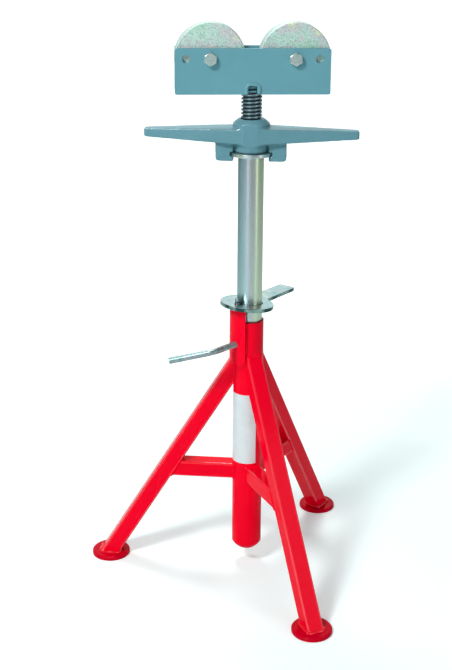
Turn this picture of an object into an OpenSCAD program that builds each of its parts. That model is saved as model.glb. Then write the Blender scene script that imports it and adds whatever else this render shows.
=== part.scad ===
// Pipe roller support: a welded tripod, a sliding post with a friction lock, a lifting
// screw turned by a two-armed nut, and a head with two rollers. Millimetres, +Z up.
// The origin is on the floor under the upright tube. The head's plates lie along X.

/* [Tripod] */
// Wall of the upright tube
tube_wall = 1.65; // [1.2:0.05:4]
// Height of the upright tube's rim above the floor
tube_top = 336; // [300:1:380]
// Height of the upright tube's lower end above the floor
tube_bottom = 30; // [20:1:50]
// Depth of the domed end below the tube
cap_depth = 11.5; // [5:0.5:15]
// Wall of the domed end
cap_wall = 2; // [1:0.5:4]
// Side of the square leg tube
leg_size = 21; // [16:0.1:28]
// Wall of the leg and brace tubes
leg_wall = 2; // [1:0.1:4]
// Corner radius of the leg and brace tubes
leg_corner = 2.2; // [2:0.1:5]
// Distance from the upright tube's axis to the middle of a foot
stance_radius = 181; // [150:1:240]
// Distance below the tube's rim at which a leg's centre line meets the tube
leg_joint_depth = 66; // [50:1:100]
// Direction of the left leg, counted from +X
leg_turn = 172; // [0:1:359]
// Diameter of a foot disc
foot_d = 49.5; // [42:0.5:80]
// Thickness of a foot disc
foot_t = 5; // [3:0.5:10]
// Side of the square brace tube
brace_size = 20.5; // [14:0.5:24]
// Drop from the legs' joint on the tube to a brace's centre line
brace_drop = 139.5; // [100:0.5:170]

/* [Clamp] */
// Wall of the clamp sleeve
sleeve_wall = 5; // [3:0.1:8]
// Angle that the clamp sleeve covers
sleeve_span = 95; // [80:1:150]
// Direction of the clamp sleeve's middle
sleeve_turn = 209; // [195:1:225]
// Height of the clamp sleeve's top above the tube's rim
sleeve_rise = 19; // [8:1:30]
// Length of the clamp sleeve
sleeve_length = 74; // [50:1:90]
// Corner radius at the clamp sleeve's lower end
sleeve_corner = 8; // [2:1:15]
// Diameter of the clamp rod
rod_d = 8; // [6:0.1:12]
// Direction of the clamp rod
rod_turn = 222; // [205:1:235]
// Distance of the clamp rod's axis below the tube's rim
rod_drop = 28; // [15:1:35]
// Distance from the tube's axis to the corner of the rod's bend
rod_reach = 62; // [50:1:90]
// Angle of the rod's bend
rod_bend = 45; // [20:1:90]
// Radius of the rod's bend, at its centre line
rod_bend_r = 12; // [10:1:20]
// Loss of diameter where the rod is bent
rod_thin = 0.4; // [0.2:0.1:1]
// Length of the rod's handle from the bend's corner
rod_handle = 56; // [40:1:120]
// Angle of the handle below level, seen along the rod
rod_dip = 17; // [-90:1:90]
// Diameter of the pin through the lock plate
pin_d = 6.5; // [5:0.1:8]
// Height of the pin above the sleeve
pin_rise = 13.5; // [11:0.5:26]
// Direction of the pin
pin_turn = 225; // [218:1:238]
// Play of the pin in the lock plate's slot
pin_play = 1.25; // [0.8:0.05:2]

/* [Lock plate] */
// Thickness of the lock plate
plate_t = 4.8; // [3:0.1:8]
// Mean width of the ring around the post
plate_rim = 17; // [13:0.5:25]
// Offset of the ring's outline from its hole, towards the sleeve
plate_shift = 4; // [0:0.5:6]
// Tilt at which the plate grips the post
plate_tilt = 6; // [3:0.1:7]
// Play of the plate's hole around the post
plate_play = 0.75; // [0.65:0.05:1.5]
// Width of the tail
tail_w = 23; // [15:1:30]
// Distance from the ring's middle to the tail's end
tail_reach = 116; // [90:1:140]
// Direction of the tail
tail_turn = 58; // [40:1:90]
// Fillet between ring and tail
tail_fillet = 6; // [3:1:10]
// Corner radius at the tail's end
tail_corner = 5; // [2:0.5:7]

/* [Post] */
// Wall of the post tube
post_wall = 2.1; // [1.2:0.05:4]
// Length of the post
post_length = 455; // [400:1:480]
// Height of the post's top above the tube's rim
post_rise = 216; // [190:1:300]
// Play between the post and the upright tube
post_play = 1.5; // [0.8:0.05:3]
// Overhang of the disc on the post's top
flange_overhang = 10; // [8:0.5:14]
// Thickness of the disc
flange_t = 4.8; // [3:0.1:8]

/* [Handle nut] */
// Span of the two arms
arm_span = 262; // [200:1:340]
// Depth of an arm at the hub, front to back
arm_root_w = 42; // [30:1:46]
// Depth of an arm at its tip
arm_tip_w = 14; // [10:1:20]
// Height of an arm at the hub
arm_root_h = 20; // [14:0.5:24]
// Rise of an arm's top face from its tip to the hub
arm_rise = 3; // [0:0.5:6]
// Height of an arm at its tip
arm_tip_h = 10.5; // [7:0.5:14]
// Corner radius of an arm, seen from above
arm_corner = 3; // [1:0.5:5]
// Direction of the arms, counted from +X
arm_turn = -6; // [-90:1:90]
// Radius of the hub
hub_r = 23; // [20:0.5:28]
// Height of the hub above the disc
hub_h = 41; // [36:1:60]
// Height of the hub's conical top
hub_cone_h = 6; // [3:0.5:8]
// Width of the hub's top face around the screw
hub_lip = 3; // [2:0.5:6]
// Step from the hub in to the boss that stands on the disc
boss_step = 2.5; // [1:0.5:5]
// Distance from the disc's top to the arms' top face at the tips
arm_level = 27.5; // [24:0.5:32]
// Width of a hook, along the arms
hook_w = 22; // [18:0.5:30]
// Depth of a hook, front to back
hook_depth = 22; // [14:0.5:26]
// Height of a hook's lip under the disc
lip_h = 6; // [4:0.5:10]
// Reach of a hook's lip under the disc
lip_reach = 4.5; // [3:0.5:6]
// Corner radius of a hook
hook_corner = 4; // [2:0.5:6]
// Gap between the disc's rim and the bottom of a hook's groove
groove_gap = 2; // [0.5:0.5:4]

/* [Lift screw] */
// Outer diameter of the lift screw
screw_d = 25.4; // [20:0.1:32]
// Play between the lift screw and the post
screw_play = 1.075; // [0.6:0.025:2]
// Screw that shows between the hub and the head
screw_show = 31; // [28:1:80]
// Screw below the hub's bottom
screw_tail = 100; // [60:1:200]

/* [Roller head] */
// Length of a head plate
head_length = 186; // [176:1:240]
// Height of a head plate
head_h = 55; // [48:0.5:62]
// Thickness of a head plate
head_t = 4.8; // [3:0.1:8]
// Corner radius of a head plate
head_corner = 2.5; // [1:0.5:6]
// Distance between the axles
axle_spacing = 101.6; // [96:0.1:106]
// Distance between the spare axle holes
spare_spacing = 158.8; // [150:0.1:166]
// Distance of the axle below the plate's top edge
axle_drop = 12.5; // [10:0.5:15]
// Diameter of a roller
roller_d = 85.7; // [78:0.1:92]
// Chamfer of a roller's rim
roller_chamfer = 1; // [0.5:0.1:3]
// Gap on each side of a roller
roller_gap = 0.5; // [0.3:0.1:1.5]
// Width of the weld notch in a head plate
notch_w = 13; // [8:0.5:18]
// Height of the weld notch
notch_h = 11; // [6:0.5:14]
// Corner radius of the weld notch
notch_corner = 3; // [1:0.5:4]
// Diameter of an axle bolt
bolt_d = 9.5; // [6:0.1:11]
// Wall of an axle sleeve
axle_wall = 2.1; // [1.5:0.1:4]
// Width across the flats of the bolt head and nut
hex_af = 14.3; // [13:0.1:19]
// Height of the bolt head
hex_head_h = 6; // [4:0.5:8]
// Height of the axle nut
hex_nut_h = 8; // [5:0.5:10]
// Bolt end that shows past the nut
bolt_end = 3; // [1:0.5:6]

/* [Hidden] */
$fn = 64;
// Clearances: seated pieces, running fits, bolt holes and neighbours that move past each other
seat = 0.05;
running = 0.08;
bolt_gap = 0.25;
clear = 0.3;
// Cutting tools run past the faces they cut by this much
past = 1;

red = [0.89, 0.05, 0.16];
teal = [0.40, 0.61, 0.67];
zinc = [0.74, 0.79, 0.76];
dark_steel = [0.20, 0.24, 0.25];

// Diameters that follow from the lift screw outwards
post_bore = screw_d + 2 * screw_play;
post_d = post_bore + 2 * post_wall;
tube_bore = post_d + 2 * post_play;
tube_d = tube_bore + 2 * tube_wall;
sleeve_bore = tube_d + 2 * seat;
sleeve_d = sleeve_bore + 2 * sleeve_wall;
plate_hole = post_d + 2 * plate_play;
plate_d = plate_hole + 2 * plate_rim;
flange_d = post_d + 2 * flange_overhang;

// The clamp rod pushes the post across its play, to just clear of the tube's far side
post_shift = post_play - clear;
post_x = -post_shift * cos(rod_turn);
post_y = -post_shift * sin(rod_turn);

// Heights above the floor
sleeve_top = tube_top + sleeve_rise;
rod_height = tube_top - rod_drop;
flange_top = tube_top + post_rise;
flange_bottom = flange_top - flange_t;
post_bottom = flange_top - post_length;
hub_bottom = flange_top + seat;
hub_top = hub_bottom + hub_h;
arm_top = flange_top + arm_level;
head_bottom = hub_top + screw_show;
head_top = head_bottom + head_h;
axle_height = head_top - axle_drop;

// Legs lean outwards from the upright tube to the middle of the feet
leg_joint = tube_top - leg_joint_depth;
brace_height = leg_joint - brace_drop;
leg_run = stance_radius - tube_d / 2;
leg_drop = leg_joint - foot_t;
leg_lean = atan(leg_run / leg_drop);
leg_turns = [leg_turn, leg_turn + 120, leg_turn - 120];
function leg_radius(height) = tube_d / 2 + leg_run * (leg_joint - height) / leg_drop;

// The lock plate tips about the sleeve's two end corners
hinge_out = sleeve_bore / 2 * cos(sleeve_span / 2);

// Head: the plates are welded against the screw's two sides
head_gap = screw_d + 2 * seat;
head_y = head_gap / 2;
axle_d = bolt_d + 2 * bolt_gap + 2 * axle_wall;
roller_bore = axle_d + 2 * running;
roller_w = head_gap - 2 * roller_gap;
sides = [-1, 1];

// Rectangle with round corners, centred
module rounded_rect(w, h, r) {
    square([w - 2 * r, h], center = true);
    square([w, h - 2 * r], center = true);
    for (x = sides, y = sides)
        translate([x * (w / 2 - r), y * (h / 2 - r)]) circle(r);
}

// Section of a square tube with round corners
module square_tube(size, wall) {
    difference() {
        rounded_rect(size, size, leg_corner);
        rounded_rect(size - 2 * wall, size - 2 * wall, max(leg_corner - wall, 0.5));
    }
}

// Leg tube or solid bar in the XZ plane, from below the foot's top up to the tube's axis
module leg_bar(hollow) {
    overrun = leg_size;
    length = stance_radius / sin(leg_lean) + overrun;
    translate([stance_radius, 0, foot_t])
        rotate([0, -leg_lean, 0])
            translate([0, 0, -overrun])
                linear_extrude(height = length)
                    if (hollow) square_tube(leg_size, leg_wall);
                    else rounded_rect(leg_size, leg_size, leg_corner);
}

// Space taken up by the upright tube, where legs and braces are coped to fit it
module tube_cope() {
    cylinder(d = tube_d + 2 * seat, h = tube_top);
}

module leg(turn) {
    below = 2 * leg_size;
    color(red) rotate(turn) difference() {
        leg_bar(hollow = true);
        tube_cope();
        translate([0, -leg_size, foot_t - below]) cube([2 * stance_radius, 2 * leg_size, below]);
    }
}

module brace(turn) {
    color(red) rotate(turn) difference() {
        translate([0, 0, brace_height])
            rotate([0, 90, 0])
                linear_extrude(height = leg_radius(brace_height)) square_tube(brace_size, leg_wall);
        tube_cope();
        leg_bar(hollow = false);
    }
}

module foot(turn) {
    edge = foot_t * 0.4;
    color(red) rotate(turn) translate([stance_radius, 0, 0]) rotate_extrude() {
        square([foot_d / 2 - edge, foot_t]);
        square([foot_d / 2, foot_t - edge]);
        translate([foot_d / 2 - edge, foot_t - edge]) intersection() {
            circle(edge);
            square(edge);
        }
    }
}

// Hole for the clamp rod, through the sleeve and the tube wall
module rod_hole() {
    rotate(rod_turn) translate([0, 0, rod_height])
        rotate([0, 90, 0]) cylinder(d = rod_d + 2 * running, h = sleeve_d);
}

module base_tube() {
    color(red) difference() {
        translate([0, 0, tube_bottom]) cylinder(d = tube_d, h = tube_top - tube_bottom);
        translate([0, 0, tube_bottom - past])
            cylinder(d = tube_bore, h = tube_top - tube_bottom + 2 * past);
        rod_hole();
    }
}

// Spherical cap of the given rim radius and depth, below z = 0
module dome(rim_r, depth) {
    ball_r = (rim_r * rim_r + depth * depth) / (2 * depth);
    rotate_extrude() intersection() {
        translate([0, ball_r - depth]) circle(ball_r);
        translate([0, -depth]) square([rim_r, depth]);
    }
}

module tube_end_cap() {
    color(red) translate([0, 0, tube_bottom]) difference() {
        dome(tube_d / 2, cap_depth);
        dome(tube_d / 2 - cap_wall, cap_depth - cap_wall);
    }
}

// Half space with a rounded lower corner, that ends the sleeve on a radial plane
module sleeve_end(side) {
    low = sleeve_top - sleeve_length;
    wide = 2 * sleeve_d;
    rotate(sleeve_turn + side * sleeve_span / 2) rotate([90, 0, 90])
        linear_extrude(height = wide, center = true) {
            translate([side > 0 ? -wide : 0, low + sleeve_corner])
                square([wide, sleeve_length - sleeve_corner]);
            translate([side > 0 ? -wide : sleeve_corner, low])
                square([wide - sleeve_corner, 2 * sleeve_corner]);
            translate([-side * sleeve_corner, low + sleeve_corner]) circle(sleeve_corner);
        }
}

module clamp_sleeve() {
    color(red) difference() {
        intersection() {
            cylinder(d = sleeve_d, h = sleeve_top);
            sleeve_end(1);
            sleeve_end(-1);
        }
        translate([0, 0, -past]) cylinder(d = sleeve_bore, h = sleeve_top + 2 * past);
        rod_hole();
        for (turn = leg_turns) rotate(turn) leg_bar(hollow = false);
    }
}

// Middle of the sleeve's wall, where the pin stands
module at_pin() {
    rotate(pin_turn) translate([sleeve_bore / 2 + sleeve_wall / 2, 0, 0]) children();
}

module plate_pin() {
    color(dark_steel) at_pin() translate([0, 0, sleeve_top]) cylinder(d = pin_d, h = pin_rise);
}

// Block that rounds the two corners between the ring and the tail
module tail_root() {
    half = tail_w / 2 + tail_fillet;
    out = plate_d / 2 + tail_fillet;
    along = sqrt(out * out - half * half);
    block = half * plate_d / 2 / out - seat;
    difference() {
        translate([0, -block]) square([along, 2 * block]);
        for (side = sides) translate([along, side * half]) circle(tail_fillet);
    }
}

// Lock plate lying level on the sleeve, as it does when the post is released
module level_plate() {
    slot_end = sleeve_bore / 2 + sleeve_wall / 2;
    slot_w = pin_d + 2 * pin_play;
    linear_extrude(height = plate_t) difference() {
        translate([post_x, post_y]) rotate(sleeve_turn) translate([plate_shift, 0])
            rotate(tail_turn - sleeve_turn) {
                circle(plate_d / 2);
                translate([tail_reach / 2, 0]) rounded_rect(tail_reach, tail_w, tail_corner);
                tail_root();
            }
        translate([post_x, post_y]) circle(plate_hole / 2);
        rotate(pin_turn) {
            translate([0, -slot_w / 2]) square([slot_end, slot_w]);
            translate([slot_end, 0]) circle(slot_w / 2);
        }
    }
}

module lock_plate() {
    color(zinc) rotate(sleeve_turn)
        translate([hinge_out, 0, sleeve_top + seat])
            rotate([0, -plate_tilt, 0])
                translate([-hinge_out, 0, 0]) rotate(-sleeve_turn) level_plate();
}

// Clamp rod along +X from the post to its bend, then turned towards -Y
module bent_rod() {
    start = post_d / 2 + post_shift + clear;
    setback = rod_bend_r * tan(rod_bend / 2);
    translate([start, 0, 0]) rotate([0, 90, 0]) cylinder(d = rod_d, h = rod_reach - setback - start);
    translate([rod_reach - setback, -rod_bend_r, 0]) {
        rotate(90 - rod_bend) rotate_extrude(angle = rod_bend)
            translate([rod_bend_r, 0]) circle(d = rod_d - rod_thin);
        rotate(-rod_bend) translate([0, rod_bend_r, 0])
            rotate([0, 90, 0]) cylinder(d = rod_d, h = rod_handle - setback);
    }
}

module clamp_screw() {
    color(zinc) rotate(rod_turn) translate([0, 0, rod_height]) rotate([rod_dip, 0, 0]) bent_rod();
}

// Everything above the tube stands on the post's own axis
module on_post() {
    translate([post_x, post_y, 0]) children();
}

module post_tube() {
    color(zinc) on_post() translate([0, 0, post_bottom]) difference() {
        cylinder(d = post_d, h = post_length);
        translate([0, 0, -past]) cylinder(d = post_bore, h = post_length + 2 * past);
    }
}

module post_flange() {
    color(zinc) on_post() translate([0, 0, flange_bottom]) difference() {
        cylinder(d = flange_d, h = flange_t);
        translate([0, 0, -past]) cylinder(d = post_d + 2 * seat, h = flange_t + 2 * past);
    }
}

// Value at a place along the arms that changes evenly from the hub to the tip
function along_arm(root, tip, x) = tip + (root - tip) * (arm_span / 2 - x) / (arm_span / 2 - hub_r / 4);

// Both arms seen from above, with rounded tips
module arms_plan() {
    tip_x = arm_span / 2;
    flat_x = hub_r / 4;
    half = arm_root_w / 2 - seat;
    taper = atan((half - arm_tip_w / 2) / (tip_x - flat_x));
    x = tip_x - arm_corner;
    y = along_arm(half, arm_tip_w / 2, x) - arm_corner / cos(taper);
    side_x = x + arm_corner * sin(taper);
    side_y = y + arm_corner * cos(taper);
    polygon([
        [-flat_x, half], [flat_x, half], [side_x, side_y], [tip_x, y],
        [tip_x, -y], [side_x, -side_y], [flat_x, -half], [-flat_x, -half],
        [-side_x, -side_y], [-tip_x, -y], [-tip_x, y], [-side_x, side_y]]);
    for (i = sides, j = sides) translate([i * x, j * y]) circle(arm_corner);
}

// Both arms seen from the front, a little longer than their plan
module arms_front() {
    flat_x = hub_r / 4;
    end_x = arm_span / 2 + past;
    top = arm_top + arm_rise;
    low = top - arm_root_h;
    end_top = along_arm(top, arm_top, end_x);
    end_low = along_arm(low, arm_top - arm_tip_h, end_x);
    polygon([
        [-flat_x, top], [flat_x, top], [end_x, end_top], [end_x, end_low],
        [flat_x, low], [-flat_x, low], [-end_x, end_low], [-end_x, end_top]]);
}

module arms() {
    intersection() {
        translate([0, 0, hub_bottom]) linear_extrude(height = hub_h) arms_plan();
        rotate([90, 0, 0]) linear_extrude(height = 2 * arm_root_w, center = true) arms_front();
    }
}

// Hub with its boss and cone, flat at the front and back where the arms' faces run through
module hub() {
    boss_r = hub_r - boss_step;
    intersection() {
        rotate_extrude() polygon([
            [0, hub_bottom], [boss_r, hub_bottom], [boss_r, arm_top - arm_root_h],
            [hub_r, arm_top - arm_root_h + boss_step], [hub_r, hub_top - hub_cone_h],
            [screw_d / 2 + hub_lip, hub_top], [0, hub_top]]);
        translate([0, 0, hub_bottom + hub_h / 2])
            cube([2 * (hub_r + past), arm_root_w, hub_h + 2 * past], center = true);
    }
}

// One hook, before the groove for the disc is cut, from its lip up into the arm
module hook(side) {
    inner = flange_d / 2 - lip_reach;
    low = flange_bottom - clear - lip_h;
    high = arm_top - arm_tip_h;
    translate([side * (inner + hook_w / 2), hook_depth / 2, (low + high) / 2])
        rotate([90, 0, 0]) linear_extrude(height = hook_depth)
            difference() {
                square([hook_w, high - low], center = true);
                translate([side * (hook_w / 2 - hook_corner), hook_corner - (high - low) / 2])
                    difference() {
                        translate([side > 0 ? 0 : -hook_corner, -hook_corner]) square(hook_corner);
                        circle(hook_corner);
                    }
            }
}

module handle_nut() {
    color(teal) on_post() rotate(arm_turn) difference() {
        union() {
            hub();
            arms();
            for (side = sides) hook(side);
        }
        translate([0, 0, flange_bottom - clear])
            cylinder(d = flange_d + 2 * groove_gap, h = flange_t + clear + seat);
        translate([0, 0, hub_bottom - past])
            cylinder(d = screw_d + 2 * running, h = hub_h + 2 * past);
    }
}

module lift_screw() {
    color(dark_steel) on_post() translate([0, 0, hub_bottom - screw_tail])
        cylinder(d = screw_d, h = screw_tail + hub_h + screw_show + notch_h);
}

// Head plate in the XZ plane, with its outer face on y = 0 and its body towards +Y
module head_plate() {
    rotate([90, 0, 0]) translate([0, 0, -head_t]) linear_extrude(height = head_t) difference() {
        translate([0, head_bottom + head_h / 2]) rounded_rect(head_length, head_h, head_corner);
        for (x = sides, spacing = [axle_spacing, spare_spacing])
            translate([x * spacing / 2, axle_height]) circle(d = bolt_d + 2 * bolt_gap);
        translate([0, head_bottom]) rounded_rect(notch_w, 2 * notch_h, notch_corner);
    }
}

module head_plate_front() {
    color(teal) on_post() translate([0, -head_y - head_t, 0]) head_plate();
}

module head_plate_back() {
    color(teal) on_post() translate([0, head_y, 0]) head_plate();
}

// Frame of one axle: z along it, away from the front, with z = 0 at the head's middle
module on_axle(side) {
    on_post() translate([side * axle_spacing / 2, 0, axle_height]) rotate([-90, 0, 0]) children();
}

module axle_bolt(side) {
    face = head_y + head_t;
    color(zinc) on_axle(side) translate([0, 0, -face]) {
        translate([0, 0, -hex_head_h]) cylinder(d = hex_af / cos(30), h = hex_head_h, $fn = 6);
        cylinder(d = bolt_d, h = 2 * face + hex_nut_h + bolt_end);
    }
}

module axle_nut(side) {
    color(zinc) on_axle(side) translate([0, 0, head_y + head_t]) difference() {
        cylinder(d = hex_af / cos(30), h = hex_nut_h, $fn = 6);
        translate([0, 0, -past]) cylinder(d = bolt_d + 2 * seat, h = hex_nut_h + 2 * past);
    }
}

module axle_sleeve(side) {
    color(zinc) on_axle(side) difference() {
        cylinder(d = axle_d, h = head_gap, center = true);
        cylinder(d = bolt_d + 2 * bolt_gap, h = head_gap + 2 * past, center = true);
    }
}

module roller(side) {
    r = roller_d / 2;
    half = roller_w / 2;
    bore = roller_bore / 2;
    color(zinc) on_axle(side) rotate_extrude() polygon([
        [bore, -half], [r - roller_chamfer, -half], [r, -half + roller_chamfer],
        [r, half - roller_chamfer], [r - roller_chamfer, half], [bore, half]]);
}

base_tube();
tube_end_cap();
clamp_sleeve();
plate_pin();
leg(leg_turns[0]);  // leg_left
leg(leg_turns[1]);  // leg_front
leg(leg_turns[2]);  // leg_back
brace(leg_turns[0]);  // brace_left
brace(leg_turns[1]);  // brace_front
brace(leg_turns[2]);  // brace_back
foot(leg_turns[0]);  // foot_left
foot(leg_turns[1]);  // foot_front
foot(leg_turns[2]);  // foot_back
lock_plate();
clamp_screw();
post_tube();
post_flange();
handle_nut();
lift_screw();
head_plate_front();
head_plate_back();
axle_bolt(-1);  // axle_bolt_left
axle_bolt(1);  // axle_bolt_right
axle_nut(-1);  // axle_nut_left
axle_nut(1);  // axle_nut_right
axle_sleeve(-1);  // axle_sleeve_left
axle_sleeve(1);  // axle_sleeve_right
roller(-1);  // roller_left
roller(1);  // roller_right
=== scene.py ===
"""Looks of the pipe roller support: painted tripod, zinc-plated post and rollers, and a cast
handle nut."""

import math

import bpy
from mathutils import Matrix, Vector


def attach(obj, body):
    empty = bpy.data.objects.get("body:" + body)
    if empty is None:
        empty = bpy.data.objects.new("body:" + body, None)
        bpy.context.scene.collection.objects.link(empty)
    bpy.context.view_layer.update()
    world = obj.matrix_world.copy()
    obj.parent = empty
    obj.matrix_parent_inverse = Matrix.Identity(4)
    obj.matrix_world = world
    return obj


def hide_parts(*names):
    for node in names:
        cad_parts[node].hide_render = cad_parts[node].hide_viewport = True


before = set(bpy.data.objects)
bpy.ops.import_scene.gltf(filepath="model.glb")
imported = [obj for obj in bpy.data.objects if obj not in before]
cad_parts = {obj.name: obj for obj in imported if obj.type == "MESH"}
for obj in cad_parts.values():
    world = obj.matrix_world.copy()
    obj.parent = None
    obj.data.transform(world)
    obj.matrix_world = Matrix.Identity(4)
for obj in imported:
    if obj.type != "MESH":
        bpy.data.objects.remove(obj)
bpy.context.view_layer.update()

MM = 0.001
TURN = 2 * math.pi

# Sizes of the CAD model, in millimetres and degrees
POST_AXIS = (0.892, 0.803)
TUBE_R = 19.025
SLEEVE_TOP = 355.0
SLEEVE_LOW = 281.0
SLEEVE_ENDS = (161.5, 256.5)
LEG_TURNS = (172, 292, 52)
LEG_SIZE = 21.0
LEG_CORNER = 2.2
LEG_JOINT = 270.0
STANCE = 181.0
FOOT_T = 5.0
BRACE_SIZE = 20.5
BRACE_HEIGHT = 130.5
ROD_D = 8.0
ROD_TURN = 222
ROD_HEIGHT = 308.0
ROD_REACH = 62.0
ROD_BEND = 45
ROD_BEND_R = 12.0
ROD_HANDLE = 56.0
ROD_DIP = 17
PIN_D = 6.5
PIN_TURN = 225
PIN_RADIUS = 21.575
PIN_TOP = 368.5
POST_R = 15.875
FLANGE_BOTTOM = 547.2
SCREW_D = 25.4
SCREW_LOW = 452.05
SCREW_TOP = 635.05
SCREW_PITCH = 4.5
SCREW_THREAD_DEPTH = 2.1
HEAD_BOTTOM = 624.05
HEAD_FACE = 17.55
NOTCH_W = 13.0
NOTCH_H = 11.0
AXLE_HEIGHT = 666.55
AXLE_SPACING = 101.6
HEX_AF = 14.3
HEX_HEAD_H = 6.0
HEX_NUT_H = 8.0
BOLT_D = 9.5
BOLT_END = 3.0

# Sizes of the finer forms that are added here, in millimetres and degrees
MERGE_GAP = 0.002
FLAT_ANGLE = 0.6
THREAD_EASE = 0.1
FINE_PITCH = 1.6
ROD_TIP = POST_R + 1.5
ROD_THREAD_END = 46.0
ROD_THREAD_DEPTH = 0.75
ROD_PINCH_REACHES = (7.0, 5.0)
ROD_PINCH = 0.96
BOLT_THREAD_DEPTH = 0.8
BOLT_END_EASE = 0.05
BOLT_TWIST = 3
HEX_FACE_SHARE = 0.96
HEX_CHAMFER_SLOPE = 0.55
RUBBED_WIDTH = 1.5
CAST_VOXEL = 0.9
SAND_GRAIN = 9
SAND_DEPTH = 0.5
SAND_LEVEL = 0.85
LABEL_ENDS = (-176.0, -61.0)
LABEL_LOW, LABEL_HIGH = 146.0, 240.0
LABEL_GAP = 0.05
LABEL_T = 0.12
LEG_BEAD = 1.6
FOOT_BEAD = 2.6
BRACE_BEAD = 1.5
BRACE_END_BEAD = 1.3
SLEEVE_BEAD = 1.7
SLEEVE_BEAD_TURN = 2.5
SLEEVE_BEAD_INSETS = (16, 22)
SLEEVE_BEAD_STEP = 2
NOTCH_BEAD = 2.5
NOTCH_BEAD_OFFSET = 1.2
NOTCH_BEAD_START = 1
NOTCH_BEAD_STEP = 1.2
NOTCH_BEAD_CORNER = 4.2
NOTCH_BEAD_SINK = 0.3
FLANGE_BEAD = 1.6
FLANGE_BEAD_STEPS = 60

# Studio and camera, in metres, degrees and millimetres of lens
FLOOR_SIZE = 60
FLOOR_COLOUR = (0.75, 0.89, 0.89, 1)
GLOSSY_SHARE = 0.15
AIR_COLOUR = (0.84, 1.0, 1.0, 1)
WHITE = (1, 1, 1, 1)
LAMP_AIM = (0, 0, 0.35)
EYE_PLACE = (-0.1043, -1.4641, 0.8550)
EYE_TURN = -2.923
EYE_DIP = 14
EYE_ROLL = 0.345
EYE_LENS = 65.96
EYE_SENSOR = 36.0
EYE_SHIFT = -0.2


def deselect_all():
    """Leaves edit mode and clears the selection, so that an operator acts on one piece only."""
    if bpy.context.object and bpy.context.object.mode != "OBJECT":
        bpy.ops.object.mode_set(mode="OBJECT")
    bpy.ops.object.select_all(action="DESELECT")


def pick(piece):
    """Makes a piece the only selected object."""
    deselect_all()
    piece.select_set(True)
    bpy.context.view_layer.objects.active = piece


def edit(piece):
    """Opens a piece in edit mode with everything selected."""
    pick(piece)
    bpy.ops.object.mode_set(mode="EDIT")
    bpy.ops.mesh.select_all(action="SELECT")


def close_up(piece):
    """Merges doubles, points the faces outwards and leaves edit mode."""
    edit(piece)
    bpy.ops.mesh.remove_doubles(threshold=MERGE_GAP * MM)
    bpy.ops.mesh.normals_make_consistent(inside=False)
    bpy.ops.object.mode_set(mode="OBJECT")


def apply_modifier(piece, kind, **settings):
    """Adds a modifier with its settings and applies it."""
    pick(piece)
    bpy.ops.object.modifier_add(type=kind)
    modifier = piece.modifiers[-1]
    for key, value in settings.items():
        setattr(modifier, key, value)
    bpy.ops.object.modifier_apply(modifier=modifier.name)


def bevel(piece, width, degrees, **settings):
    """Rounds the edges that are sharper than an angle, by a width in millimetres."""
    apply_modifier(
        piece, "BEVEL", width=width * MM, segments=2, limit_method="ANGLE",
        angle_limit=math.radians(degrees), **settings)


def set_down(piece, place):
    """Moves a piece to its place in the stand and applies the move to its mesh."""
    piece.matrix_world = place
    pick(piece)
    bpy.ops.object.transform_apply(location=True, rotation=True, scale=True)


def turned_about(axis, degrees):
    """Matrix that turns about an axis by degrees."""
    return Matrix.Rotation(math.radians(degrees), 4, axis)


def at(x, y, z):
    """Matrix that moves by millimetres."""
    return Matrix.Translation((x * MM, y * MM, z * MM))


def drawn_line(name, points):
    """Line of edges through points in millimetres, drawn by extruding one corner."""
    deselect_all()
    bpy.ops.mesh.primitive_plane_add(size=MM)
    line = bpy.context.object
    line.name = name
    edit(line)
    bpy.ops.mesh.merge(type="CENTER")
    bpy.ops.transform.translate(value=Vector(points[0]) * MM)
    for start, end in zip(points, points[1:]):
        step = (Vector(end) - Vector(start)) * MM
        bpy.ops.mesh.extrude_region_move(TRANSFORM_OT_translate={"value": step})
    bpy.ops.object.mode_set(mode="OBJECT")
    return line


def turned(name, profile, steps):
    """Piece turned about Z from a profile of radius and height, in millimetres."""
    piece = drawn_line(name, [(r, 0, z) for r, z in profile])
    edit(piece)
    bpy.ops.mesh.spin(steps=steps, angle=TURN, center=(0, 0, 0), axis=(0, 0, 1))
    close_up(piece)
    return piece


def cut_off(piece, height, keep_below):
    """Cuts a piece level at a height in millimetres and caps the cut."""
    edit(piece)
    bpy.ops.mesh.bisect(
        plane_co=(0, 0, height * MM), plane_no=(0, 0, 1), use_fill=True,
        clear_outer=keep_below, clear_inner=not keep_below)
    bpy.ops.object.mode_set(mode="OBJECT")


def threaded_rod(name, diameter, pitch, depth, low, high, steps=24):
    """Right-hand thread about Z with flat crests, cut level at both ends."""
    crest = (diameter - THREAD_EASE) / 2
    root = crest - depth
    start = low - 1.5 * pitch
    profile = [(root, 0), (root, 0.24), (crest, 0.42), (crest, 0.82), (root, 1.0)]
    rod = drawn_line(name, [(r, 0, start + share * pitch) for r, share in profile])
    apply_modifier(
        rod, "SCREW", axis="Z", angle=TURN, screw_offset=pitch * MM,
        iterations=math.ceil((high - low) / pitch) + 3, steps=steps, render_steps=steps,
        use_merge_vertices=True, merge_threshold=MERGE_GAP * MM)
    close_up(rod)
    cut_off(rod, high, keep_below=True)
    cut_off(rod, low, keep_below=False)
    close_up(rod)
    return rod


def copy_of(node, name):
    """Copy of a CAD node's mesh with its loose triangles merged into plain faces."""
    piece = bpy.data.objects.new(name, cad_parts[node].data.copy())
    bpy.context.collection.objects.link(piece)
    piece.data.materials.clear()
    edit(piece)
    bpy.ops.mesh.customdata_custom_splitnormals_clear()
    bpy.ops.mesh.remove_doubles(threshold=MERGE_GAP * MM)
    bpy.ops.mesh.dissolve_limited(angle_limit=math.radians(FLAT_ANGLE))
    bpy.ops.object.mode_set(mode="OBJECT")
    return piece


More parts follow.
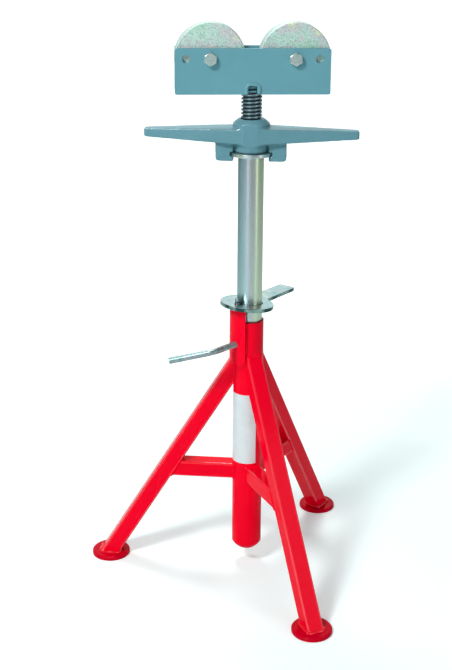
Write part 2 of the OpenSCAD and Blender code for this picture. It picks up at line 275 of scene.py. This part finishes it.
def select_near(piece, centre, reach):
    """Opens a piece in edit mode with only the corners near a place selected."""
    edit(piece)
    bpy.ops.mesh.select_all(action="DESELECT")
    bpy.ops.object.mode_set(mode="OBJECT")
    for corner in piece.data.vertices:
        corner.select = (corner.co - centre).length < reach
    bpy.ops.object.mode_set(mode="EDIT")


def remove(*pieces):
    """Deletes pieces that were only tools or models for copies."""
    for piece in pieces:
        pick(piece)
        bpy.ops.object.delete()


def copied(piece, name, place):
    """Copy of a piece with its own mesh, set down at another place."""
    pick(piece)
    bpy.ops.object.duplicate()
    twin = bpy.context.object
    twin.name = name
    set_down(twin, place)
    return twin


def shade(piece, degrees):
    """Smooth shading with sharp edges kept and large faces flat."""
    pick(piece)
    bpy.ops.object.shade_smooth_by_angle(angle=math.radians(degrees))
    apply_modifier(piece, "WEIGHTED_NORMAL", mode="FACE_AREA", weight=60, keep_sharp=True)


def dress(piece, body, slot, material, *nodes):
    """Gives a finished piece its material, the body it moves with and the nodes it stands for."""
    piece.data.materials.clear()
    piece.data.materials.append(material)
    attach(piece, body)
    if nodes:
        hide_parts(*nodes)


def linear(hex_colour):
    """Linear RGBA of an sRGB hex colour."""
    channels = [int(hex_colour[i:i + 2], 16) / 255 for i in (1, 3, 5)]
    return [c / 12.92 if c <= 0.04045 else ((c + 0.055) / 1.055) ** 2.4 for c in channels] + [1]


def feed(tree, node, inputs):
    """Sets a shader node's inputs to values, hex colours or other nodes' outputs."""
    for key, value in inputs.items():
        if isinstance(value, bpy.types.NodeSocket):
            tree.links.new(value, node.inputs[key])
        else:
            node.inputs[key].default_value = linear(value) if isinstance(value, str) else value


def add(tree, kind, settings=None, inputs=None):
    """Adds a shader node with its settings and inputs."""
    made = tree.nodes.new("ShaderNode" + kind)
    for key, value in (settings or {}).items():
        setattr(made, key, value)
    feed(tree, made, inputs or {})
    return made


def per_metre(grain_mm):
    """Texture scale that gives a grain of that size."""
    return 1 / (grain_mm * MM)


def noise(tree, place, grain_mm, detail, roughness=0.5):
    """Noise with a grain of that size."""
    return add(tree, "TexNoise", inputs={
        "Vector": place, "Scale": per_metre(grain_mm), "Detail": detail,
        "Roughness": roughness}).outputs["Fac"]


def ranged(tree, value, to, within=(0.0, 1.0), **settings):
    """Value carried from one range into another."""
    return add(tree, "MapRange", settings, {
        "Value": value, "From Min": within[0], "From Max": within[1],
        "To Min": to[0], "To Max": to[1]}).outputs["Result"]


def maths(tree, operation, *values):
    """Result of a sum on one to three values."""
    return add(tree, "Math", {"operation": operation}, dict(enumerate(values))).outputs["Value"]


def mixed(tree, factor, first, second):
    """Mix of two colours. The numbers are the places of the colour sockets on the node."""
    return add(tree, "Mix", {"data_type": "RGBA"}, {0: factor, 6: first, 7: second}).outputs[2]


def bump(tree, height, strength, depth_mm):
    """Normal of a surface that a texture raises."""
    return add(tree, "Bump", inputs={
        "Strength": strength, "Distance": depth_mm * MM, "Height": height}).outputs["Normal"]


def split(tree, vector):
    """X, Y and Z of a vector."""
    return add(tree, "SeparateXYZ", inputs={"Vector": vector}).outputs


def facing_up(tree):
    """How far a face looks up: 1 for level faces, 0 for upright ones."""
    return split(tree, add(tree, "TexCoord").outputs["Normal"])["Z"]


def new_material(name):
    """Empty node material with a Principled shader on its output."""
    material = bpy.data.materials.new(name)
    material.use_nodes = True
    tree = material.node_tree
    tree.nodes.clear()
    shader = add(tree, "BsdfPrincipled")
    add(tree, "OutputMaterial", inputs={"Surface": shader.outputs["BSDF"]})
    place = add(tree, "TexCoord").outputs["Object"]
    return material, tree, shader, place


def red_enamel(name, tones, gloss_range, shine, corner_shine=None):
    """Glossy red enamel sprayed on steel tube: a deep even red with a faint orange peel that
    breaks up the highlights, and a thin film of dust where it turns a little duller. The corners
    of square tube are rubbed clean of it, so that they catch a thin bright line."""
    material, tree, shader, place = new_material(name)
    cloud = noise(tree, place, 55, 3.0)
    peel = noise(tree, place, 2.4, 2.0)
    feed(tree, shader, {
        "Base Color": mixed(tree, cloud, *tones),
        "Roughness": ranged(tree, cloud, gloss_range),
        "Normal": bump(tree, peel, 0.10, 0.15),
        "Specular IOR Level": shine})
    if corner_shine:
        rubbed = add(tree, "Attribute", {"attribute_name": "rubbed"}).outputs["Fac"]
        feed(tree, shader, {"Specular IOR Level": ranged(tree, rubbed, (shine, corner_shine))})
    return material


def grey_blue_paint(name, tones, grain_mm, depth_mm, gloss_range, shine, pitted=False):
    """Satin grey-blue paint: even and slightly milky on rolled plate, and over a casting it
    follows the sand's grain, with small dark spots that are painted shade in its pits, and
    upper edges that hands have rubbed glossier."""
    material, tree, shader, place = new_material(name)
    cloud = noise(tree, place, 40, 4.0)
    grain = noise(tree, place, grain_mm, 4.0, 0.6)
    colour = mixed(tree, cloud, *tones)
    if pitted:
        # Dark spots: painted shade standing in for small pits in the casting.
        cells = add(tree, "TexVoronoi", inputs={"Vector": place, "Scale": per_metre(14)})
        pit = ranged(tree, cells.outputs["Distance"], (1.0, 0.0), (0.035, 0.06))
        colour = mixed(tree, pit, colour, "#2F4E58")
    feed(tree, shader, {
        "Base Color": colour,
        "Roughness": ranged(tree, grain, gloss_range),
        "Normal": bump(tree, grain, 0.35, depth_mm),
        "Specular IOR Level": shine})
    if pitted:
        rubbed = maths(tree, "COMPARE", facing_up(tree), 0.48, 0.22)
        feed(tree, shader, {"Specular IOR Level": ranged(tree, rubbed, (shine, 1.0))})
    return material


def zinc_plating(name, tints, drift_mm, stretch, speckle, gloss_range, shaded_edges=False, across=None):
    """Bright zinc electroplate with a clear chromate film: silver with a greenish cast, soft
    lilac and yellow-green interference tints, and the grain of the steel under it. With shaded
    edges, the plate's edges carry painted shade, darker than the faces, broken by stretches of
    darker and lighter painted reflection, so that the plate's depth shows. On a tube the tints
    run across it in that order, a painted reflection that is darker at the left and brighter at
    the right, and the colour turns paler towards the foot."""
    material, tree, shader, place = new_material(name)
    along = add(tree, "Mapping", inputs={"Vector": place, "Scale": stretch})
    drift = noise(tree, along.outputs["Vector"], drift_mm, 3.0)
    grain = noise(tree, place, 1.1, 3.0, 0.7)
    film = drift
    # Painted reflection across a tube: the tint runs from darker at the left to brighter at the
    # right.
    if across:
        spot = split(tree, place)
        thickness = ranged(tree, spot["X"], (0.14, 0.64), (-across * MM, across * MM))
        film = maths(tree, "MULTIPLY_ADD", drift, 0.4, thickness)
    tint = add(tree, "ValToRGB", inputs={"Fac": film})
    stops = tint.color_ramp.elements
    stops[0].position, stops[0].color = 0.34, linear(tints[0])
    stops[1].position, stops[1].color = 0.68, linear(tints[3])
    stops.new(0.46).color = linear(tints[1])
    stops.new(0.57).color = linear(tints[2])
    spots = ranged(tree, grain, (speckle, 0.0), (0.38, 0.50))
    colour = mixed(tree, spots, tint.outputs["Color"], "#7C958C")
    if across:
        foot = ranged(tree, spot["Z"], (0.22, 0.0), (SLEEVE_TOP * MM, FLANGE_BOTTOM * MM))
        colour = mixed(tree, foot, colour, "#E4F2F0")
    # Painted shade on the edges, with darker and lighter painted reflections along them.
    if shaded_edges:
        level = maths(tree, "ABSOLUTE", facing_up(tree))
        cut = ranged(tree, level, (1.0, 0.0), (0.35, 0.75))
        painted_edge_reflections = ranged(tree, drift, (0.0, 1.0), (0.42, 0.58))
        colour = mixed(tree, cut, colour, mixed(tree, painted_edge_reflections, "#2C4846", "#8FABA4"))
    feed(tree, shader, {
        "Base Color": colour,
        "Roughness": ranged(tree, grain, gloss_range, (0.3, 0.7)),
        "Normal": bump(tree, grain, 0.12, 0.08),
        "Metallic": 1.0})
    return material


def oiled_steel():
    """Dark oiled screw steel: nearly black in the thread's roots, with paler crests that are
    partly rubbed and partly a painted highlight, and the head's paint on the crests of the turns
    that are welded into the head."""
    material, tree, shader, place = new_material("oiled_thread_steel")
    cloud = noise(tree, place, 6, 4.0)
    # Paler crests: partly rubbed steel, partly painted highlight.
    crests = add(tree, "NewGeometry").outputs["Pointiness"]
    crest_rub_and_highlight = ranged(tree, crests, (0.0, 1.0), (0.49, 0.56))
    dull = mixed(tree, cloud, "#34464B", "#4A5D62")
    worn = mixed(tree, crest_rub_and_highlight, dull, "#8399A0")
    welded = ranged(
        tree, split(tree, place)["Z"], (0.0, 1.0),
        ((HEAD_BOTTOM - 0.5) * MM, (HEAD_BOTTOM + 0.5) * MM))
    painted = maths(tree, "MULTIPLY", welded, crest_rub_and_highlight)
    feed(tree, shader, {
        "Base Color": mixed(tree, painted, worn, "#659EAB"),
        "Roughness": ranged(tree, cloud, (0.30, 0.48)),
        "Metallic": maths(tree, "SUBTRACT", 1.0, painted)})
    return material


def label_film():
    """Silver-white polyester label stock: smooth, slightly glossy, with faint creases."""
    material, tree, shader, place = new_material("bare_label_film")
    cloud = noise(tree, place, 18, 3.0)
    feed(tree, shader, {
        "Base Color": mixed(tree, cloud, "#CBD6DA", "#E2E9EB"),
        "Normal": bump(tree, cloud, 0.15, 0.2),
        "Roughness": 0.32})
    return material


PLATE_TONES = ("#5A919D", "#669AA6")
SILVER = ("#8FB0A8", "#AECBCB", "#BDBFC8", "#CFDFC6")
EVEN = (1.0, 1.0, 1.0)
UPRIGHT = (1.0, 1.0, 0.06)

RED = red_enamel(
    "sprayed_red_enamel", ("#F20022", "#FC002A"), (0.10, 0.17), 0.05, corner_shine=1.0)
# The feet get a darker copy of the red enamel: painted shade, standing in for the legs' shadow on
# the feet.
RED_SHADED_FEET = red_enamel("red_enamel_painted_shade_on_feet", ("#C4001E", "#D20024"), (0.12, 0.20), 0.05)
RED_BEAD = red_enamel("thick_red_enamel_on_welds", ("#E40020", "#F00026"), (0.06, 0.12), 0.5)
PLATE_PAINT = grey_blue_paint(
    "satin_grey_blue_on_plate", PLATE_TONES, 2.6, 0.08, (0.36, 0.52), 0.3)
BEAD_PAINT = grey_blue_paint(
    "thick_grey_blue_on_welds", PLATE_TONES, 1.2, 0.05, (0.08, 0.16), 0.6)
CAST_PAINT = grey_blue_paint(
    "satin_grey_blue_on_casting", ("#5A8793", "#66929D"), 1.6, 0.35, (0.18, 0.30), 0.12,
    pitted=True)
ZINC = zinc_plating("bright_zinc_plating", SILVER, 9, UPRIGHT, 0.2, (0.28, 0.40))
# The post's tints are set across it: a painted reflection, darker at the left and brighter at the
# right.
POST_ZINC = zinc_plating(
    "bright_zinc_on_post", ("#72918C", "#96B3BA", "#B2B0BA", "#C3CEAE"), 16, UPRIGHT, 0.25,
    (0.26, 0.38), across=POST_R)
# The lock plate's zinc has painted shade and painted reflections on its edges.
EDGE_SHADED_ZINC = zinc_plating(
    "bright_zinc_on_sheared_plate", SILVER, 14, EVEN, 0.2, (0.26, 0.36), shaded_edges=True)
# The rod's zinc is a darker copy, painted shade, and the thread's a lighter copy, painted light,
# though both are one bar.
SHADED_ROD_ZINC = zinc_plating(
    "darker_zinc_painted_shade_on_clamp_rod", ("#84A29E", "#97B3B6", "#A4A9B2", "#B2C1AF"), 9, EVEN, 0.3,
    (0.34, 0.46))
LIT_STEM_ZINC = zinc_plating(
    "lighter_zinc_painted_light_on_clamp_thread", ("#A2BDB9", "#B1CACC", "#BABDC5", "#C6D3C4"), 9, EVEN, 0.3,
    (0.36, 0.48))
BOLT_ZINC = zinc_plating(
    "bright_zinc_on_fasteners", ("#BBD3C9", "#CFE2E0", "#D3D2D8", "#DDE8D2"), 4, EVEN, 0.45,
    (0.34, 0.48))
# The rollers' zinc is partly a duller, grainier finish, and partly a lighter copy that paints in
# the reflected light.
LIT_ROLLER_ZINC = zinc_plating(
    "grained_zinc_painted_light_on_rollers", ("#C8E4D5", "#D0E8DF", "#DCD8DC", "#E5EED6"), 22, EVEN, 0.75,
    (0.60, 0.74))
SCREW_STEEL = oiled_steel()
LABEL = label_film()


def softened(node, body, slot, material, width):
    """CAD piece with its edges rounded as a press, saw or file leaves them."""
    piece = copy_of(node, node + "_finished")
    bevel(piece, width, 35, use_clamp_overlap=True, harden_normals=False)
    shade(piece, 32)
    dress(piece, body, slot, material, node)
    return piece


def rub_corners(piece):
    """Marks the long narrow faces of a square tube's rounded corners for the enamel."""
    marks = piece.data.attributes.new("rubbed", "FLOAT", "FACE")
    for face, mark in zip(piece.data.polygons, marks.data):
        corners = [piece.data.vertices[index].co for index in face.vertices]
        longest = max((a - b).length for a, b in zip(corners, corners[1:] + corners[:1]))
        mark.value = float(face.area < RUBBED_WIDTH * MM * longest)


def plain_pieces():
    """The pieces that need only softer edges and a finish."""
    for node in ("base_tube", "clamp_sleeve"):
        softened(node, "base", "red_paint", RED, 0.4)
    for side in ("left", "front", "back"):
        rub_corners(softened("leg_" + side, "base", "red_paint", RED, 0.3))
        rub_corners(softened("brace_" + side, "base", "red_paint", RED, 0.3))
        # feet: the darker red is painted shade
        softened("foot_" + side, "base", "red_paint", RED_SHADED_FEET, 0.5)
    softened("tube_end_cap", "base", "red_paint", RED, 0.3)
    softened("lock_plate", "lock_plate", "zinc_plate", EDGE_SHADED_ZINC, 0.5)
    softened("post_tube", "post", "zinc_plate", POST_ZINC, 0.3)
    softened("post_flange", "post", "zinc_plate", ZINC, 0.6)
    for side in ("front", "back"):
        softened("head_plate_" + side, "head", "grey_blue_paint", PLATE_PAINT, 0.5)
    for side in ("left", "right"):
        softened("roller_" + side, "roller_" + side, "zinc_plate", LIT_ROLLER_ZINC, 0.4)
        softened("axle_sleeve_" + side, "head", "zinc_plate", ZINC, 0.2)


def lift_screw():
    """Lifting screw with its full thread."""
    screw = threaded_rod(
        "lift_screw_thread", SCREW_D, SCREW_PITCH, SCREW_THREAD_DEPTH, SCREW_LOW, SCREW_TOP,
        steps=40)
    set_down(screw, at(*POST_AXIS, 0))
    shade(screw, 25)
    dress(screw, "head", "dark_steel", SCREW_STEEL, "lift_screw")


def handle_casting():
    """Two-armed nut as a sand casting: all edges rounded, with an uneven skin. Most of the skin
    lies below the drawn surface, so that it clears the screw and the post."""
    casting = copy_of("handle_nut", "handle_casting")
    apply_modifier(casting, "REMESH", mode="VOXEL", voxel_size=CAST_VOXEL * MM, adaptivity=0.0)
    apply_modifier(casting, "SMOOTH", factor=0.5, iterations=14)
    sand = bpy.data.textures.new("sand_skin", "CLOUDS")
    sand.noise_scale = SAND_GRAIN * MM
    apply_modifier(
        casting, "DISPLACE", texture=sand, texture_coords="LOCAL", strength=SAND_DEPTH * MM,
        mid_level=SAND_LEVEL)
    shade(casting, 60)
    dress(casting, "nut", "grey_blue_paint", CAST_PAINT, "handle_nut")


def clamp_rod():
    """Clamp rod bent from one bar: threaded stem, pinched bend and straight handle."""
    setback = ROD_BEND_R * math.tan(math.radians(ROD_BEND / 2))
    bend_start = ROD_REACH - setback
    place = turned_about("Z", ROD_TURN) @ at(0, 0, ROD_HEIGHT) @ turned_about("X", ROD_DIP)
    deselect_all()
    bpy.ops.mesh.primitive_circle_add(
        vertices=28, radius=(ROD_D - THREAD_EASE) / 2 * MM, fill_type="NGON",
        location=(ROD_THREAD_END * MM, 0, 0), rotation=(0, math.pi / 2, 0))
    rod = bpy.context.object
    rod.name = "clamp_rod"
    bpy.ops.object.transform_apply(location=True, rotation=True, scale=True)
    edit(rod)
    bpy.ops.mesh.extrude_region_move(
        TRANSFORM_OT_translate={"value": ((bend_start - ROD_THREAD_END) * MM, 0, 0)})
    bpy.ops.mesh.spin(
        steps=10, angle=math.radians(ROD_BEND), center=(bend_start * MM, -ROD_BEND_R * MM, 0),
        axis=(0, 0, 1))
    out = math.radians(-ROD_BEND)
    run = (ROD_HANDLE - setback) * MM
    bpy.ops.mesh.extrude_region_move(
        TRANSFORM_OT_translate={"value": (run * math.cos(out), run * math.sin(out), 0)})
    close_up(rod)
    middle = math.radians(90 - ROD_BEND / 2)
    pinch = Vector((bend_start + ROD_BEND_R * math.cos(middle),
                    ROD_BEND_R * math.sin(middle) - ROD_BEND_R, 0)) * MM
    for reach in ROD_PINCH_REACHES:
        select_near(rod, pinch, reach * MM)
        bpy.ops.transform.resize(value=(1, 1, ROD_PINCH), center_override=pinch)
    bevel(rod, 0.8, 60)
    set_down(rod, place)
    shade(rod, 40)
    dress(rod, "clamp_screw", "zinc_plate", SHADED_ROD_ZINC, "clamp_screw")
    stem = threaded_rod(
        "clamp_thread", ROD_D, FINE_PITCH, ROD_THREAD_DEPTH, ROD_TIP, ROD_THREAD_END)
    set_down(stem, place @ turned_about("Y", 90))
    shade(stem, 25)
    dress(stem, "clamp_screw", "zinc_plate", LIT_STEM_ZINC)


def hex_block(name, height):
    """Hexagon with its corners chamfered on the lathe at the top."""
    corner_r = HEX_AF / 2 / math.cos(math.pi / 6)
    deselect_all()
    bpy.ops.mesh.primitive_cylinder_add(
        vertices=6, radius=corner_r * MM, depth=height * MM, location=(0, 0, height / 2 * MM))
    block = bpy.context.object
    block.name = name
    bpy.ops.object.transform_apply(location=True, rotation=True, scale=True)
    flat_r = HEX_AF / 2 * HEX_FACE_SHARE
    rim_r = corner_r + 1
    cone = turned("lathe_cut", [
        (0, -1), (rim_r, -1), (rim_r, height - (rim_r - flat_r) * HEX_CHAMFER_SLOPE),
        (flat_r, height), (0, height)], steps=48)
    apply_modifier(block, "BOOLEAN", operation="INTERSECT", object=cone, solver="EXACT")
    remove(cone)
    bevel(block, 0.35, 40)
    return block


def axle_fasteners():
    """Hex bolt and nut of each roller, with the bolt's threaded end behind the nut."""
    head = hex_block("bolt_head", HEX_HEAD_H)
    nut = hex_block("bolt_nut", HEX_NUT_H)
    end = threaded_rod(
        "bolt_end", BOLT_D, FINE_PITCH, BOLT_THREAD_DEPTH, 0,
        HEX_NUT_H + BOLT_END - BOLT_END_EASE)
    for model in (head, nut, end):
        shade(model, 25)
    front = turned_about("X", 90) @ at(0, 0, HEAD_FACE)
    back = turned_about("X", -90) @ at(0, 0, HEAD_FACE)
    for side, name in ((-1, "left"), (1, "right")):
        axle = at(POST_AXIS[0] + side * AXLE_SPACING / 2, POST_AXIS[1], AXLE_HEIGHT)
        twist = turned_about("Z", BOLT_TWIST * side)
        dress(copied(head, "bolt_head_" + name, axle @ front @ twist),
              "head", "zinc_plate", BOLT_ZINC, "axle_bolt_" + name)
        dress(copied(nut, "bolt_nut_" + name, axle @ back @ twist),
              "head", "zinc_plate", BOLT_ZINC, "axle_nut_" + name)
        dress(copied(end, "bolt_end_" + name, axle @ back), "head", "zinc_plate", BOLT_ZINC)
    remove(head, nut, end)


def plate_pin():
    """Stop pin of the lock plate: a turned stud with a waist and a domed end."""
    r = PIN_D / 2
    waist = r - 0.5
    height = PIN_TOP - SLEEVE_TOP
    pin = turned("plate_stop_pin", [
        (0, 0), (r, 0), (r, 7.5), (waist, 8.2), (waist, 9.4), (r, 10.1), (r, height - 2),
        (r - 0.5, height - 0.8), (r - 1.6, height - 0.15), (0, height)], steps=32)
    set_down(pin, turned_about("Z", PIN_TURN) @ at(PIN_RADIUS, 0, SLEEVE_TOP))
    shade(pin, 40)
    dress(pin, "base", "dark_steel", SCREW_STEEL, "plate_pin")


def label():
    """Bare label film on the front left of the upright tube."""
    first, last = LABEL_ENDS
    film = drawn_line("bare_label", [(TUBE_R + LABEL_GAP, 0, z) for z in (LABEL_LOW, LABEL_HIGH)])
    set_down(film, turned_about("Z", first))
    edit(film)
    bpy.ops.mesh.spin(
        steps=36, angle=math.radians(last - first), center=(0, 0, 0), axis=(0, 0, -1))
    close_up(film)
    apply_modifier(film, "SOLIDIFY", thickness=LABEL_T * MM, offset=1.0)
    shade(film, 40)
    dress(film, "base", "red_paint", LABEL)


def ring_of_square(size, corner, steps=6):
    """Points round a square with rounded corners, as pairs across and along."""
    reach = size / 2 - corner
    corners = ((1, 1), (-1, 1), (-1, -1), (1, -1))

    def on_corner(place, angle):
        """Point on a rounded corner."""
        return (place[0] * reach + corner * math.cos(angle),
                place[1] * reach + corner * math.sin(angle))

    points = []
    for quarter, place in enumerate(corners):
        for step in range(steps + 1):
            angle = math.radians(90 * quarter + 90 * step / steps)
            points.append(on_corner(place, angle))
        ahead = on_corner(corners[(quarter + 1) % 4], angle)
        for share in (0.2, 0.4, 0.6, 0.8):
            points.append((points[-1][0] + (ahead[0] - points[-1][0]) * share,
                           points[-1][1] + (ahead[1] - points[-1][1]) * share))
    return points


def weld_bead(name, route, size, closed=True):
    """Weld bead along a seam, with the ripples that the moving arc leaves."""
    bead = drawn_line(name, route + route[:1] if closed else route)
    close_up(bead)
    pick(bead)
    bpy.ops.object.convert(target="CURVE")
    bead = bpy.context.object
    bead.data.bevel_depth = size * MM
    bead.data.bevel_resolution = 2
    bead.data.use_fill_caps = True
    for spline in bead.data.splines:
        for index, point in enumerate(spline.points):
            ripple = 0.14 * math.sin(2.1 * index)
            sway = 0.08 * math.sin(0.7 * index + 1)
            point.radius = 1 + ripple + sway
    bpy.ops.object.convert(target="MESH")
    bead = bpy.context.object
    close_up(bead)
    shade(bead, 60)
    return bead


def on_all_legs(name, route, size, paint):
    """Weld bead along a seam of a leg that points to +X, copied to the three legs."""
    bead = weld_bead(name, route, size)
    for turn, side in zip(LEG_TURNS, ("left", "front", "back")):
        twin = copied(bead, "%s_%s" % (name, side), turned_about("Z", turn))
        dress(twin, "base", "red_paint", paint)
    remove(bead)


def to_tube(point, along):
    """Where a straight line first meets the upright tube."""
    a = along.x ** 2 + along.y ** 2
    b = point.x * along.x + point.y * along.y
    c = point.x ** 2 + point.y ** 2 - TUBE_R ** 2
    return point + along * ((-b - math.sqrt(b * b - a * c)) / a)


def tripod_welds():
    """Weld beads of the tripod: legs, braces and sleeve on the tube, braces on the legs and
    legs on the feet."""
    lean = math.atan((STANCE - TUBE_R) / (LEG_JOINT - FOOT_T))
    axis = Vector((-math.sin(lean), 0, math.cos(lean)))
    outward = Vector((math.cos(lean), 0, math.sin(lean)))
    foot = Vector((STANCE, 0, FOOT_T))
    leg = [foot + outward * u + Vector((0, v, 0))
           for u, v in ring_of_square(LEG_SIZE, LEG_CORNER)]
    on_all_legs("leg_weld", [to_tube(p, axis) for p in leg], LEG_BEAD, RED)
    at_foot = [p + axis * ((FOOT_T - p.z) / axis.z) for p in leg]
    on_all_legs("foot_weld", at_foot, FOOT_BEAD, RED_BEAD)

    brace = [Vector((STANCE, v, BRACE_HEIGHT + u))
             for u, v in ring_of_square(BRACE_SIZE, LEG_CORNER)]
    inward = Vector((-1, 0, 0))
    on_all_legs("brace_weld", [to_tube(p, inward) for p in brace], BRACE_BEAD, RED)
    inner_face = LEG_SIZE / 2 / math.cos(lean)
    at_leg = [Vector((STANCE - (p.z - FOOT_T) * math.tan(lean) - inner_face, p.y, p.z))
              for p in brace]
    on_all_legs("brace_end_weld", at_leg, BRACE_END_BEAD, RED)

    low, high = SLEEVE_BEAD_INSETS
    heights = range(int(SLEEVE_LOW) + low, int(SLEEVE_TOP) - high, SLEEVE_BEAD_STEP)
    bead = weld_bead("sleeve_weld", [(TUBE_R, 0, z) for z in heights], SLEEVE_BEAD, closed=False)
    turns = (SLEEVE_ENDS[0] - SLEEVE_BEAD_TURN, SLEEVE_ENDS[1] + SLEEVE_BEAD_TURN)
    for index, turn in enumerate(turns):
        twin = copied(bead, "sleeve_weld_%d" % index, turned_about("Z", turn))
        dress(twin, "base", "red_paint", RED)
    remove(bead)


def head_welds():
    """Weld beads that hold the screw in the notch of each head plate, and the disc on the post."""
    half = NOTCH_W / 2 + NOTCH_BEAD_OFFSET
    top = HEAD_BOTTOM + NOTCH_H + NOTCH_BEAD_OFFSET
    corner = NOTCH_BEAD_CORNER
    arch = [(-half, HEAD_BOTTOM + NOTCH_BEAD_START + i * NOTCH_BEAD_STEP) for i in range(6)]
    arch += [(-half + corner - corner * math.cos(math.radians(t)),
              top - corner + corner * math.sin(math.radians(t))) for t in range(0, 91, 18)]
    arch += [(-x, z) for x, z in reversed(arch)]
    route = [(x, NOTCH_BEAD_SINK - HEAD_FACE, z) for x, z in arch]
    bead = weld_bead("notch_weld", route, NOTCH_BEAD, closed=False)
    for name, turn in (("front", 0), ("back", 180)):
        twin = copied(bead, "notch_weld_" + name, at(*POST_AXIS, 0) @ turned_about("Z", turn))
        dress(twin, "head", "grey_blue_paint", BEAD_PAINT)
    remove(bead)
    angles = [TURN * i / FLANGE_BEAD_STEPS for i in range(FLANGE_BEAD_STEPS)]
    circle = [(POST_AXIS[0] + POST_R * math.cos(angle),
               POST_AXIS[1] + POST_R * math.sin(angle), FLANGE_BOTTOM) for angle in angles]
    dress(weld_bead("flange_weld", circle, FLANGE_BEAD), "post", "zinc_plate", ZINC)


def seen_straight(tree, path):
    """1 for what the camera sees directly or through glass, else 0."""
    return maths(
        tree, "MAXIMUM", path.outputs["Is Camera Ray"], path.outputs["Is Transmission Ray"])


def studio_floor():
    """White studio floor that keeps soft shadows."""
    deselect_all()
    bpy.ops.mesh.primitive_plane_add(size=FLOOR_SIZE)
    floor = bpy.context.object
    floor.name = "studio_floor"
    material, tree, shader, place = new_material("white_studio_paper")
    path = add(tree, "LightPath")
    seen = ranged(tree, path.outputs["Is Glossy Ray"], (seen_straight(tree, path), GLOSSY_SHARE))
    reach = add(tree, "VectorMath", {"operation": "LENGTH"}, {0: place}).outputs["Value"]
    far = ranged(tree, reach, (0.29, 0.95), (0.15, 1.6), interpolation_type="SMOOTHSTEP")
    feed(tree, shader, {
        "Base Color": FLOOR_COLOUR,
        "Roughness": 0.9,
        "Specular IOR Level": 0.1,
        "Emission Strength": maths(tree, "MULTIPLY", seen, far),
        "Emission Color": WHITE})
    floor.data.materials.append(material)


def studio_air():
    """White background, with dimmer air that lights the part and shows in its metal."""
    world = bpy.data.worlds.new("studio_air")
    world.use_nodes = True
    tree = world.node_tree
    tree.nodes.clear()
    path = add(tree, "LightPath")
    straight = seen_straight(tree, path)
    towards = split(tree, add(tree, "TexCoord").outputs["Generated"])
    mirrored = ranged(tree, towards["Y"], (0.26, 1.1), (0.5, 0.9))
    ceiling = ranged(tree, towards["Z"], (0.55, 0.12), (0.0, 0.7))
    plain = ranged(tree, path.outputs["Is Glossy Ray"], (ceiling, mirrored))
    back = add(tree, "Background", inputs={
        "Color": mixed(tree, straight, AIR_COLOUR, WHITE),
        "Strength": ranged(tree, straight, (plain, 1.0))})
    add(tree, "OutputWorld", inputs={"Surface": back.outputs["Background"]})
    bpy.context.scene.world = world


def studio_lamps():
    """Soft boxes overhead, at the front left and low at the front, and a tall one at the right."""
    boxes = (("overhead_soft_box", (-0.20, 0.75, 2.1), 0.5, 0.5, 16.0),
             ("front_left_soft_box", (-1.15, -1.30, 2.00), 0.45, 0.45, 42.0),
             ("low_front_box", (-1.2, -2.2, 0.60), 0.9, 0.9, 6.0),
             ("right_reflector", (1.6, -1.3, 0.65), 0.4, 1.5, 5.0))
    for name, place, width, height, power in boxes:
        deselect_all()
        bpy.ops.object.light_add(type="AREA", location=place)
        box = bpy.context.object
        box.name = name
        box.data.shape = "RECTANGLE"
        box.data.size, box.data.size_y = width, height
        box.data.energy = power
        beam = Vector(LAMP_AIM) - Vector(place)
        box.rotation_euler = beam.to_track_quat("-Z", "Y").to_euler()


def camera():
    """Camera at the photograph's distance and turn, looking down a little."""
    deselect_all()
    bpy.ops.object.camera_add(location=EYE_PLACE)
    eye = bpy.context.object
    turn, pitch, roll = (math.radians(a) for a in (EYE_TURN, 90 - EYE_DIP, EYE_ROLL))
    eye.rotation_euler = (Matrix.Rotation(turn, 3, "Z") @ Matrix.Rotation(pitch, 3, "X")
                          @ Matrix.Rotation(roll, 3, "Z")).to_euler()
    eye.data.lens = EYE_LENS
    eye.data.sensor_width = EYE_SENSOR
    eye.data.shift_y = EYE_SHIFT
    bpy.context.scene.camera = eye


plain_pieces()
lift_screw()
handle_casting()
clamp_rod()
axle_fasteners()
plate_pin()
label()
tripod_welds()
head_welds()
studio_floor()
studio_air()
studio_lamps()
camera()
bpy.context.scene.view_settings.view_transform = "Standard"
